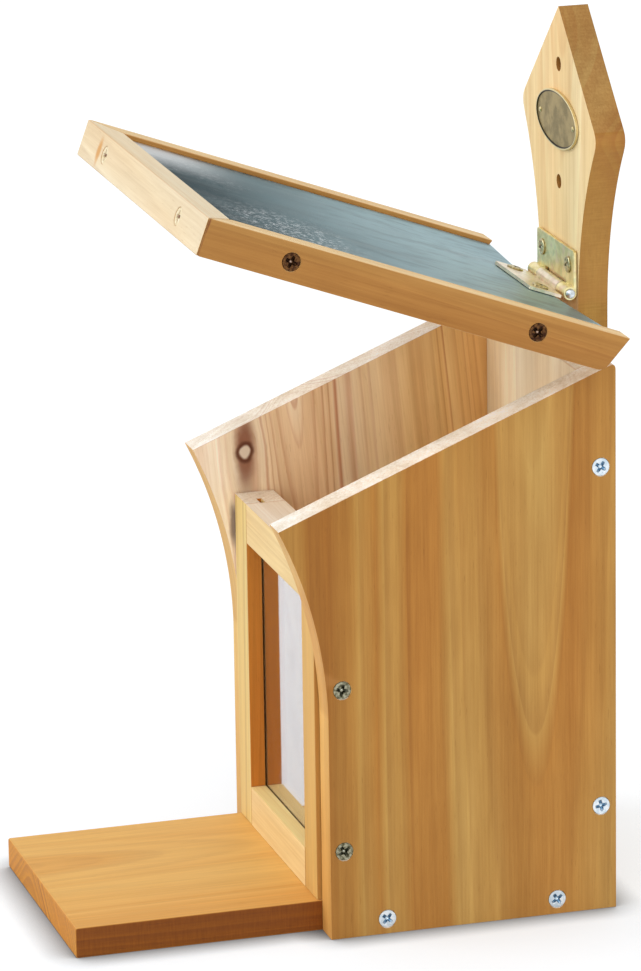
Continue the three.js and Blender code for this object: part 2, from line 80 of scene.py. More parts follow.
Triple = tuple[float, float, float]

# How a CAD copy is cleaned and eased: corners closer than MERGE_GAP are one, faces within FLAT_ANGLE are one,
# edges past SHARP_ANGLE are rounded unless within RIM_ROOM of a screw, and faces under WORN_AREA are worn
MERGE_GAP = 2e-6
FLAT_ANGLE = math.radians(0.8)
SHARP_ANGLE = math.radians(29)
RIM_ROOM = 0.9 * MM
WORN_AREA = 60 * MM * MM

# A turned piece is creased past TURNED_SHARP_ANGLE, and a domed head's first ring lies at FIRST_RING off its axis
TURNED_SHARP_ANGLE = math.radians(38)
FIRST_RING = 0.08


class Slot(Enum):
    """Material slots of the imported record."""

    PANEL = "panel_wood"
    PERCH = "perch_wood"
    PALE = "pale_wood"
    LID = "lid_wood"
    ACRYLIC = "clear_acrylic"
    SHEET = "roof_sheet"
    HINGE = "hinge_steel"
    PIN = "pin_steel"
    ZINC = "zinc_steel"
    YELLOW = "yellow_zinc_steel"
    BRONZED = "bronzed_steel"
    PLATE = "plate_metal"


class Axis(Enum):
    """A direction of a board in its own frame."""

    X = 0
    Y = 1
    Z = 2


class Facing(Enum):
    """The way a screw's head looks, before any tilt of the lid."""

    RIGHT = (1.0, 0.0, 0.0)
    LEFT = (-1.0, 0.0, 0.0)
    FRONT = (0.0, -1.0, 0.0)
    BACK = (0.0, 1.0, 0.0)
    UP = (0.0, 0.0, 1.0)


def linear(hex_colour: str) -> tuple[float, ...]:
    """Turns a written colour into the linear values that a shader takes.

    Args:
        hex_colour: Six hex digits, as in "b88848".

    Returns:
        Red, green, blue and an alpha of 1.
    """
    values = np.array([int(hex_colour[i:i + 2], 16) for i in (0, 2, 4)]) / 255
    low = values / 12.92
    high = ((values + 0.055) / 1.055) ** 2.4
    return (*np.where(values <= 0.04045, low, high).tolist(), 1.0)


def placed(name: str, data: bpy.types.ID) -> bpy.types.Object:
    """Makes an object and links it to the scene.

    Args:
        name: Its name.
        data: Its mesh, light or camera.

    Returns:
        The object.
    """
    thing = bpy.data.objects.new(name, data)
    bpy.context.scene.collection.objects.link(thing)
    return thing


def read(items: bpy.types.bpy_prop_collection, name: str, kind: type = np.float32, width: int = 1) -> np.ndarray:
    """Reads one property of all items of a mesh.

    Args:
        items: The mesh's points, corners or faces.
        name: The property.
        kind: The type that it is stored in.
        width: How many numbers each item has.

    Returns:
        The numbers, with one row for each item where it has more than one.
    """
    values = np.empty(len(items) * width, kind)
    items.foreach_get(name, values)
    return values.reshape(-1, width).astype(float) if width > 1 else values


class Value:
    """An output socket that takes part in sums.

    Each operator places one math node, for numbers or for vectors. fit multiplies by its first argument and adds
    its second, and most takes the greater of two.
    """

    def __init__(self, tree: Tree, socket: bpy.types.NodeSocket) -> None:
        """Keeps the tree and the socket."""
        self.tree, self.socket = tree, socket

    def sum(self, operation: str, *others: Feed, **settings: object) -> Value:
        """One sum that starts with this value; returns its result."""
        kind = "Math" if self.socket.type == "VALUE" else "VectorMath"
        return self.tree.value(kind, dict(enumerate((self, *others))), operation=operation, **settings)

    def after(self, operation: str, number: float) -> Value:
        """One sum that starts with a plain number and goes on with this value."""
        return self.tree.value("Math", {0: number, 1: self}, operation=operation)

    __add__ = partialmethod(sum, "ADD")
    __sub__ = partialmethod(sum, "SUBTRACT")
    __mul__ = partialmethod(sum, "MULTIPLY")
    __truediv__ = partialmethod(sum, "DIVIDE")
    __pow__ = partialmethod(sum, "POWER")
    __rsub__ = partialmethod(after, "SUBTRACT")
    __rtruediv__ = partialmethod(after, "DIVIDE")
    __rpow__ = partialmethod(after, "POWER")
    fit = partialmethod(sum, "MULTIPLY_ADD")
    most = partialmethod(sum, "MAXIMUM")

    def step(self, start: Feed, end: Feed, low: float = 0.0, high: float = 1.0) -> Value:
        """A smooth step of this number from low to high between start and end."""
        return self.tree.value("MapRange", {0: self, 1: start, 2: end, 3: low, 4: high},
                               interpolation_type="SMOOTHSTEP")

    def noise(self, detail: float, rough: float, seed: Feed, scale: float = 1.0, output: int = 0) -> Value:
        """Soft noise at this place: output 0 is its value and output 1 its colour."""
        return self.tree.value("TexNoise", {"Vector": self, "W": seed, "Scale": scale, "Detail": detail,
                                            "Roughness": rough}, output, noise_dimensions="4D")

    def scale(self, factor: Feed) -> Value:
        """This vector made longer by a number."""
        return self.tree.value("VectorMath", {0: self, "Scale": factor}, operation="SCALE")

    def length(self) -> Value:
        """The length of this vector."""
        return self.tree.value("VectorMath", {0: self}, "Value", operation="LENGTH")

    def parts(self) -> list[Value]:
        """The three parts of this vector."""
        return [Value(self.tree, part) for part in self.tree.add("SeparateXYZ", {0: self}).outputs]


class Tree:
    """A shader node tree with short calls that place nodes and join them."""

    def __init__(self, tree: bpy.types.NodeTree) -> None:
        """Keeps the tree that the calls work on."""
        self.tree = tree

    def add(self, kind: str, inputs: dict, **settings: object) -> bpy.types.Node:
        """Places one node.

        Args:
            kind: Blender's type name after "ShaderNode".
            inputs: Socket names or numbers with what goes in.
            **settings: Properties of the node.

        Returns:
            The new node.
        """
        node = self.tree.nodes.new("ShaderNode" + kind)
        for name, value in settings.items():
            setattr(node, name, value)
        for name, value in inputs.items():
            self.feed(node.inputs[name], value)
        return node

    def feed(self, socket: bpy.types.NodeSocket, value: Feed) -> None:
        """Joins an input to a value, or sets it.

        Args:
            socket: The input socket.
            value: A Value, a number, some numbers, or a colour in six hex digits.
        """
        if isinstance(value, Value):
            self.tree.links.new(value.socket, socket)
        else:
            socket.default_value = linear(value) if isinstance(value, str) else value

    def value(self, kind: str, inputs: dict, output: int | str = 0, **settings: object) -> Value:
        """Places one node; returns one of its outputs."""
        return Value(self, self.add(kind, inputs, **settings).outputs[output])

    def group(self, group: bpy.types.NodeTree, inputs: dict) -> dict[str, Value]:
        """Places a node group; returns its outputs by name."""
        outputs = self.add("Group", inputs, node_tree=group).outputs
        return {socket.name: Value(self, socket) for socket in outputs}

    def join(self, first: Feed = 0.0, second: Feed = 0.0, third: Feed = 0.0) -> Value:
        """A vector from its three parts."""
        return self.value("CombineXYZ", {0: first, 1: second, 2: third})

    def mix(self, factor: Feed, first: Feed, second: Feed, blend: str = "MIX") -> Value:
        """Mixes two colours; returns the colour."""
        return self.value("Mix", {0: factor, 6: first, 7: second}, 2, data_type="RGBA", blend_type=blend)

    def bump(self, strength: float, distance: float, height: Value) -> Value:
        """A normal that follows a height."""
        return self.value("Bump", {"Strength": strength, "Distance": distance, "Height": height})

    def random(self, number: Value) -> Value:
        """A random value for each whole number."""
        return self.value("TexWhiteNoise", {"W": number}, noise_dimensions="1D")


class SharedGroups:
    """Node groups that several finishes use, each built once."""

    def __init__(self) -> None:
        """Builds every group."""
        self.figure = self._new("Wood figure", {
            "Vector": ORIGIN, "Pith": ORIGIN, "Slope": 0.0, "Lean": 0.05, "Ring": 0.004, "Early": 0.1,
            "Wander": 0.004, "Crown": 0.0, "Crown Width": 0.02, "Seed": 0.0}, self._wood_figure)
        self.knot = self._new("Wood knot", {"Vector": ORIGIN, "Centre": ORIGIN, "Radius": 0.003, "Stain": 3.0},
                              self._wood_knot)
        self.faces = self._new("Board faces", {"Normal": ORIGIN}, self._board_faces)
        self.wear = self._new("Plated steel wear", {"Vector": ORIGIN, "Cloud Size": 0.004, "Seed": 0.0},
                              self._metal_wear)

    @staticmethod
    def _new(name: str, inputs: dict, body: Callable[[Tree, dict], dict[str, Value]]) -> bpy.types.NodeTree:
        """Makes a group.

        Args:
            name: The group's name.
            inputs: Names with the default value of each input.
            body: Takes the tree and the inputs, places the nodes, and returns the outputs by name.

        Returns:
            The group.
        """
        group = bpy.data.node_groups.new(name, "ShaderNodeTree")
        for label, value in inputs.items():
            kind = "Vector" if isinstance(value, tuple) else "Float"
            socket = group.interface.new_socket(name=label, in_out="INPUT", socket_type="NodeSocket" + kind)
            socket.default_value = value
        tree = Tree(group)
        entry = group.nodes.new("NodeGroupInput")
        results = body(tree, {socket.name: Value(tree, socket) for socket in entry.outputs})
        for label, value in results.items():
            kind = "Float" if value.socket.type == "VALUE" else "Vector"
            group.interface.new_socket(name=label, in_out="OUTPUT", socket_type="NodeSocket" + kind)
        leave = group.nodes.new("NodeGroupOutput")
        for label, value in results.items():
            tree.feed(leave.inputs[label], value)
        return group

    @staticmethod
    def _wood_figure(tree: Tree, take: dict[str, Value]) -> dict[str, Value]:
        """Growth rings, fibres and streaks of a sawn board.

        A point's distance from the pith line, bent by slow noise, less the crown, is divided by the ring width.
        The part after the point rises slowly and falls fast, as early wood turns to late wood. The crown makes
        the pointed arches of a flat-sawn board: it is the place along the grain times a taper, and fades with
        the square of the place across over the crown's width. The band is a random value for each ring that
        runs evenly into the next ring's.

        Args:
            tree: The group's tree.
            take: Its inputs.

        Returns:
            Its outputs: masks from 0 to 1, and the height.
        """
        seed = take["Seed"]
        across, through, along = take["Vector"].parts()
        point = tree.join(along.fit(take["Slope"], across), through, along)
        slow = (point * (26, 26, 4.5)).noise(1.5, 0.45, seed, output=1)
        bend = (slow - MIDDLE).scale(take["Wander"])
        across, through, along = (point + bend - take["Pith"]).parts()
        radius = tree.join(across, through - along * take["Lean"]).length()
        crown = along * take["Crown"] / ((across / take["Crown Width"]) ** 2.0 + 1.0)
        count = (radius - crown) / take["Ring"]
        years = tree.value("TexNoise", {"W": count + seed, "Scale": 0.31, "Detail": 1.0}, noise_dimensions="1D")
        count = years.fit(5.0, count)
        ring, share = count.sum("FLOOR"), count.sum("FRACT")
        tone, next_tone = (tree.random(ring + (seed + shift)) for shift in (0.5, 1.5))
        band = (next_tone - tone).fit(share, tone)
        patch = (point * (30, 30, 5)).noise(1.0, 0.5, seed + 5.0)
        strength = tree.random(ring + seed) ** 1.4 * patch.step(0.3, 0.62, 0.35)
        late = share.step(take["Early"], 0.88) * share.step(0.88, 1.0, 1.0, 0.0) * strength.fit(0.82, 0.18)
        fibre = (point * (1300, 1300, 30)).noise(2.5, 0.6, seed)
        broad = (point * (58, 58, 2.6)).noise(2.0, 0.5, seed)
        fine = (point * (300, 300, 8.0)).noise(3.0, 0.65, seed)
        blotch = (point * (90, 90, 30)).noise(2.0, 0.55, seed)
        streak = blotch.fit(0.2, broad.fit(0.45, fine * 0.35))
        drift = (point * (34, 34, 4.0)).noise(2.0, 0.5, seed + 8.0)
        pore = (point * (2600, 2600, 170)).noise(1.0, 0.5, seed).step(0.66, 0.78)
        height = fibre.fit(0.7, late * 0.25) - pore * 0.5
        return {"Late": late, "Band": band, "Fibre": fibre, "Streak": streak, "Drift": drift, "Pore": pore,
                "Height": height}

    @staticmethod
    def _wood_knot(tree: Tree, take: dict[str, Value]) -> dict[str, Value]:
        """A knot: the grain that is led round it, its core, its dark rim and the stain above and below it.

        Args:
            tree: The group's tree.
            take: Its inputs.

        Returns:
            Its outputs: the place that the grain is read at, and masks from 0 to 1.
        """
        place, centre = take["Vector"], take["Centre"]
        wobble = (place * (160, 160, 160)).noise(2.0, 0.5, 3.0, output=1)
        wobble = (wobble - MIDDLE) * (0.0022, 0.0, 0.0022)
        away = (place + wobble - centre).scale(1.0 / take["Radius"])
        near = (away * (1.0, 0.0, 0.78)).length()
        across, _, along = away.parts()
        far = tree.join(across, 0.0, along / take["Stain"]).length()
        reach = (away * (0.4, 0.0, 0.14)).length()
        pulled = (place - centre) * tree.join(2.718 ** (reach * reach * -1.0))
        return {"Vector": place - pulled, "Core": near.step(0.55, 0.95, 1.0, 0.0),
                "Rim": near.step(0.6, 0.98) * near.step(1.0, 1.5, 1.0, 0.0), "Stain": far.step(0.6, 2.1, 1.0, 0.0)}

    @staticmethod
    def _board_faces(_tree: Tree, take: dict[str, Value]) -> dict[str, Value]:
        """How far a point belongs to each kind of a board's faces, by its normal.

        Args:
            _tree: The group's tree, which is not needed here.
            take: Its inputs.

        Returns:
            Masks of the far broad face, the long edges and the cut ends, from 0 to 1.
        """
        across, through, along = take["Normal"].parts()
        return {"Far": through.step(0.0, 0.4), "Edge": across.sum("ABSOLUTE").step(0.55, 0.8),
                "End": along.sum("ABSOLUTE").step(0.55, 0.8)}

    @staticmethod
    def _metal_wear(_tree: Tree, take: dict[str, Value]) -> dict[str, Value]:
        """Patterns of plated steel.

        Args:
            _tree: The group's tree, which is not needed here.
            take: Its inputs.

        Returns:
            Cloud, fine scratch and speck patterns, from 0 to 1.
        """
        place, seed = take["Vector"], take["Seed"]
        return {"Cloud": place.scale(1.0 / take["Cloud Size"]).noise(3.0, 0.55, seed),
                "Scratch": (place * (4200, 520, 4200)).noise(2.0, 0.6, seed),
                "Speck": (place * (2400, 2400, 2400)).noise(1.0, 0.5, seed).step(0.64, 0.74)}


@dataclass(frozen=True)
class Finish:
    """A look: the name of its material and the record's slot that it stands in."""

    name: str
    slot: Slot = field(default=Slot.PALE, kw_only=True)

    def build(self, groups: SharedGroups) -> bpy.types.Material:
        """Builds the material.

        Args:
            groups: The shared node groups.

        Returns:
            The finished material.
        """
        material = bpy.data.materials.new(self.name)
        material.use_nodes = True
        tree = Tree(material.node_tree)
        shader = material.node_tree.nodes["Principled BSDF"]
        for name, value in self.paint(tree, groups).items():
            tree.feed(shader.inputs[name], value)
        return material

    def paint(self, tree: Tree, groups: SharedGroups) -> dict:
        """Places the finish's own nodes; returns what goes into the shader, by the name of its socket."""
        raise NotImplementedError


@dataclass(frozen=True)
class Knot:
    """A knot or stain at a place across and along the board, with the colour of its middle."""

    across: float
    along: float
    radius: float
    stain: float = 3.0
    core: str = "dccab4"
    tone: str = "94532f"
    whole: float = 1.0


@dataclass(frozen=True)
class Wood(Finish):
    """A board's finish: colours by face, the run of its grain, and how its rings lie.

    The board's own axes are across (u), through (v) and along the grain (w). Lengths are in metres. A second
    far-face colour, if there is one, takes over the far face between the two places across of its span, and a foot
    colour gives way to the edge colour between the two places along of its span.
    """

    # Colours by face: partly the wood's own tone, partly painted light and shade; fronts and tops are painted paler
    # and sides darker, as the light falls on them
    face: str
    far_face: str
    edge: str
    end: str = "fbf4e6"
    grain: Axis = Axis.Z
    through: Axis = Axis.X
    tilt: float = 0.0
    pith: Triple = (0.0, 0.05, 0.0)
    slope: float = 0.0
    lean: float = 0.02
    ring: float = 0.0045
    early: float = 0.1
    wander: float = 0.005
    crown: float = 0.0
    crown_width: float = 0.02
    contrast: float = 0.5
    streak: float = 0.7
    dark: str = "a06a34"
    worn: str = "b98145"
    sawn: float = 0.0
    aside: float = 0.5
    drift: float = 0.3
    band: float = 0.06
    seed: float = 1.0
    rough: float = 0.6
    heart: str = ""
    heart_span: tuple[float, float] = (0.0, 0.0)
    foot: str = ""
    foot_span: tuple[float, float] = (0.0, 0.0)
    knots: tuple[Knot, ...] = ()

    def paint(self, tree: Tree, groups: SharedGroups) -> dict:
        """Paints the faces, then the rings, the streaks, the knots and the worn edges over them.

        Args:
            tree: The material's tree.
            groups: The shared node groups.

        Returns:
            What goes into the shader, by the name of its socket.
        """
        point, normal = self._board_frame(tree)
        knots = []
        for knot in self.knots:
            marks = tree.group(groups.knot, {"Vector": point, "Centre": (knot.across, 0.0, knot.along),
                                             "Radius": knot.radius, "Stain": knot.stain})
            point = marks["Vector"] if knot.whole else point
            knots.append((knot, marks))
        figure = tree.group(groups.figure, {
            "Vector": point, "Pith": self.pith, "Slope": self.slope, "Lean": self.lean, "Ring": self.ring,
            "Early": self.early, "Wander": self.wander, "Crown": self.crown, "Crown Width": self.crown_width,
            "Seed": self.seed})
        faces = tree.group(groups.faces, {"Normal": normal})
        end = faces["End"]
        colour = self._ground(tree, point, faces)
        late = figure["Late"] * faces["Edge"].most(end).fit((self.aside - 1.0) * self.contrast, self.contrast)
        colour = tree.mix(late, colour, tree.mix(1.0, colour, self.dark, "MULTIPLY"))
        streak = figure["Streak"].fit(self.streak, 1.0 - self.streak * 0.5)
        fibre = (figure["Fibre"] - 0.5).fit(end.fit(0.3, 0.3), 1.0)
        band = (figure["Band"] - 0.5) * (1.0 - end)
        light = band.fit(self.band, streak * fibre) - figure["Pore"] * 0.14
        if self.sawn:
            teeth = (point * (130, 130, 1500)).noise(2.0, 0.6, self.seed)
            light = ((teeth - 0.5) * faces["Edge"]).fit(self.sawn, light)
        drift = band.fit(self.band, figure["Drift"].fit(self.drift, 1.0 - self.drift / 2))
        shade = tree.join(light, light ** 1.35 * drift, light ** 1.9 * drift ** 2.2)
        colour = tree.mix(1.0, colour, shade, "MULTIPLY")
        for knot, marks in knots:
            colour = tree.mix(marks["Stain"] * end.fit(-0.75, 0.85), colour, knot.tone)
            colour = tree.mix(marks["Core"] * knot.whole, colour, knot.core)
            colour = tree.mix(marks["Rim"] * (0.9 * knot.whole), colour, KNOT_RIM)
        worn = tree.value("Attribute", {}, "Fac", attribute_name="worn")
        return {"Base Color": tree.mix(worn * 0.35, colour, self.worn), "Specular IOR Level": 0.25,
                "Roughness": figure["Fibre"].fit(0.2, self.rough - 0.1) - late * 0.1,
                "Normal": tree.bump(0.55, 0.22 * MM, figure["Height"])}

    def _ground(self, tree: Tree, point: Value, faces: dict[str, Value]) -> Value:
        """Mixes the colours of the board's faces, before any grain; they carry painted light and shade as well as
        the wood's own tone.

        Args:
            tree: The material's tree.
            point: The place in the board's own axes.
            faces: How far the point belongs to each face.

        Returns:
            The colour.
        """
        across, _, along = point.parts()
        far_face, edge = self.far_face, self.edge
        if self.heart:
            far_face = tree.mix(across.step(*self.heart_span), far_face, self.heart)
        if self.foot:
            edge = tree.mix(along.step(*self.foot_span), self.foot, edge)
        colour = tree.mix(faces["Far"], self.face, far_face)
        colour = tree.mix(faces["Edge"], colour, edge)
        return tree.mix(faces["End"], colour, self.end)

    def _board_frame(self, tree: Tree) -> list[Value]:
        """Reads the place and the normal in the board's own axes.

        Args:
            tree: The material's tree.

        Returns:
            The place and the normal as across, through and along.
        """
        across = next(axis for axis in Axis if axis not in (self.grain, self.through))
        results = []
        for source, kind in (("Object", "POINT"), ("Normal", "VECTOR")):
            turned = tree.value("Mapping", {"Vector": tree.value("TexCoord", {}, source),
                                            "Rotation": (-self.tilt, 0.0, 0.0)}, vector_type=kind)
            parts = turned.parts()
            results.append(tree.join(*(parts[axis.value] for axis in (across, self.through, self.grain))))
        return results


@dataclass(frozen=True)
class Metal(Finish):
    """A metal finish: two colours that drift into each other, with roughness, scratches and specks.

    The third colour is painted shade in the arms of a screw's cross, and the fourth a painted glint in the pit at
    its middle, where an attribute marks them.
    """

    colour: str
    second: str
    # cross: painted shade in the arms of a screw's cross; pit: a painted glint in the pit at its middle
    cross: str = "2a2218"
    pit: str = "d8d4c8"
    edge_tint: float = 1.0
    rough: float = 0.32
    cloud: float = 0.003
    speck: float = 0.25
    metallic: float = 1.0
    seed: float = 0.0

    def paint(self, tree: Tree, groups: SharedGroups) -> dict:
        """Paints the two colours, the finish's own pattern, the specks and the cross.

        Args:
            tree: The material's tree.
            groups: The shared node groups.

        Returns:
            What goes into the shader, by the name of its socket.
        """
        point = tree.value("TexCoord", {}, "Object")
        wear = tree.group(groups.wear, {"Vector": point, "Cloud Size": self.cloud, "Seed": self.seed})
        colour = tree.mix(wear["Cloud"].step(0.36, 0.64), self.colour, self.second)
        colour, painted_glare_and_scuffs = self.extra(tree, point, colour)
        colour = tree.mix(wear["Speck"] * self.speck, colour, SPECK)
        # Painted shade in the arms of a screw's cross and below its rim, and a painted glint in the pit at its
        # middle
        sunk = tree.value("Attribute", {}, "Fac", attribute_name="sunk")
        for share, tone in ((0.92, self.cross), (-0.9, self.pit)):
            colour = tree.mix(sunk.sum("MULTIPLY", share, use_clamp=True), colour, tone)
        # Where a finish gives a painted glare or scuffs, the edge tint turns white there
        tint = (*(self.edge_tint,) * 3, 1.0)
        return {"Base Color": colour, "Metallic": self.metallic,
                "Specular Tint": tree.mix(painted_glare_and_scuffs, tint, WHITE) if painted_glare_and_scuffs else tint,
                "Roughness": wear["Cloud"].fit(0.12, wear["Scratch"].fit(0.16, self.rough - 0.08)),
                "Normal": tree.bump(0.35, 0.04 * MM, wear["Scratch"].fit(0.5, wear["Speck"]))}

    def extra(self, tree: Tree, point: Value, colour: Value) -> tuple[Value, Value | None]:
        """Gives a finish the chance to add its own pattern and places where the edge tint turns white, such as a
        painted glare; the plain one adds none.
        """
        return colour, None


@dataclass(frozen=True)
class YellowPlating(Metal):
    """Yellow passivated zinc, with green and rose patches."""

    def extra(self, tree: Tree, point: Value, colour: Value) -> tuple[Value, Value | None]:
        """Adds the rose and green sheen of the passivation.

        Args:
            tree: The material's tree.
            point: The place on the piece.
            colour: The colour so far.

        Returns:
            The colour, and no bright places.
        """
        for size, seed, sheen in ((240, 4.0, "ecc6bc"), (330, 9.0, "c2cba0")):
            colour = tree.mix(point.noise(2.0, 0.5, seed, size).step(0.52, 0.7, 0.0, 0.45), colour, sheen)
        return colour, None


@dataclass(frozen=True)
class PlateMetal(Metal):
    """The bare oval plate: brushed metal with a fine dark line inside its rim."""

    centre: Triple = (0.0, 0.1, 0.298)
    half_width: float = 23.8 * MM
    half_height: float = 11.2 * MM
    line: tuple[float, float] = (0.6 * MM, 1.25 * MM)

    def extra(self, tree: Tree, point: Value, colour: Value) -> tuple[Value, Value | None]:
        """Adds the line: it lies inside one oval and outside a smaller one.

        A point is inside an oval where its distance from the middle, each part divided by the oval's half
        size, is under 1.

        Args:
            tree: The material's tree.
            point: The place on the plate.
            colour: The colour so far.

        Returns:
            The colour, and no bright places.
        """
        away = point - self.centre
        outer, inner = ((away * (1 / (self.half_width - inset), 0.0, 1 / (self.half_height - inset))).length()
                        for inset in self.line)
        colour = tree.mix(outer.step(0.985, 1.0), colour, "dccb9c")
        line = outer.step(0.985, 1.01, 1.0, 0.0) * inner.step(0.99, 1.015) * 0.95
        return tree.mix(line, colour, "1a140a"), None


@dataclass(frozen=True)
class SheetMetal(Metal):
    """Galvanised sheet: faint spangle, long rolling streaks, small bright scuffs, a painted reflection that turns it
    pale towards the rear, and a painted glare near the far front corner.
    """

    glare_from: Triple = (-0.07, -0.148, 0.0)
    scuffs_from: Triple = (0.045, -0.115, 0.0)

    def extra(self, tree: Tree, point: Value, colour: Value) -> tuple[Value, Value | None]:
        """Adds spangle, streaks, scuffs, a painted reflection and a painted glare in the sheet's own frame.

        Args:
            tree: The material's tree.
            point: The place on the sheet.
            colour: The colour so far.

        Returns:
            The colour, and the painted glare and the scuffs, where the edge tint turns white.
        """
        flat = tree.value("Mapping", {"Vector": point, "Rotation": (-LID_TILT, 0.0, 0.0)})
        # Painted reflection: the sheet turns pale towards the rear, past a wavy line; the same wave shapes the
        # painted glare
        drift = (flat * (14, 9, 14)).noise(2.0, 0.5, 6.0)
        colour = tree.mix(drift.fit(0.05, flat.parts()[1]).step(-0.13, 0.0), colour, "d4f2f8")
        cells = tree.value("TexVoronoi", {"Vector": flat * (120, 120, 0), "Randomness": 1.0}, "Color")
        colour = tree.mix(tree.value("SeparateColor", {0: cells}) * 0.08, colour, "b9c4c6")
        streak = (flat * (60, 8, 60)).noise(3.0, 0.6, 2.0)
        colour = tree.mix(streak.step(0.5, 0.8, 0.0, 0.3), colour, "c3ccca")
        mottle = (flat * (150, 60, 150)).noise(3.0, 0.6, 7.0)
        colour = tree.mix(mottle.step(0.45, 0.7, 0.0, 0.35), colour, "8aa0a4")
        # Painted glare: a white patch near the far front corner
        corner = ((flat - self.glare_from) * (19.0, 19.0, 0.0)).length()
        painted_glare = drift.fit(0.9, corner).step(0.6, 1.5, 1.0, 0.0)
        colour = tree.mix(painted_glare * 0.5, colour, WHITE)
        scuff = (flat * (1300, 420, 1300)).noise(1.5, 0.6, 5.0)
        patch = (flat * (38, 22, 38)).noise(2.0, 0.5, 8.0)
        near = ((flat - self.scuffs_from) * (24.0, 30.0, 0.0)).length()
        where = patch.step(0.54, 0.66, 0.0, 0.5).most(near.step(0.3, 1.2, 1.0, 0.0))
        marks = scuff.step(0.57, 0.63) * where
        return tree.mix(marks * 0.5, colour, WHITE), painted_glare.most(marks)


@dataclass(frozen=True)
class Acrylic(Finish):
    """Clear pane: faint lilac tint, a light haze and a few smears."""

    def paint(self, tree: Tree, groups: SharedGroups) -> dict:
        """Paints the tint and the smears.

        Args:
            tree: The material's tree.
            groups: The shared node groups.

        Returns:
            What goes into the shader, by the name of its socket.
        """
        smear = (tree.value("TexCoord", {}, "Object") * (60, 60, 35)).noise(3.0, 0.6, 1.0)
        return {"Base Color": tree.mix(smear.step(0.45, 0.75), "fbf9fb", "f2eff4"),
                "Roughness": smear.step(0.5, 0.8, 0.03, 0.12), "IOR": 1.7, "Coat Weight": 1.0, "Coat IOR": 1.9,
                "Coat Roughness": 0.03, "Transmission Weight": 0.985, "Normal": tree.bump(0.2, 0.03 * MM, smear)}


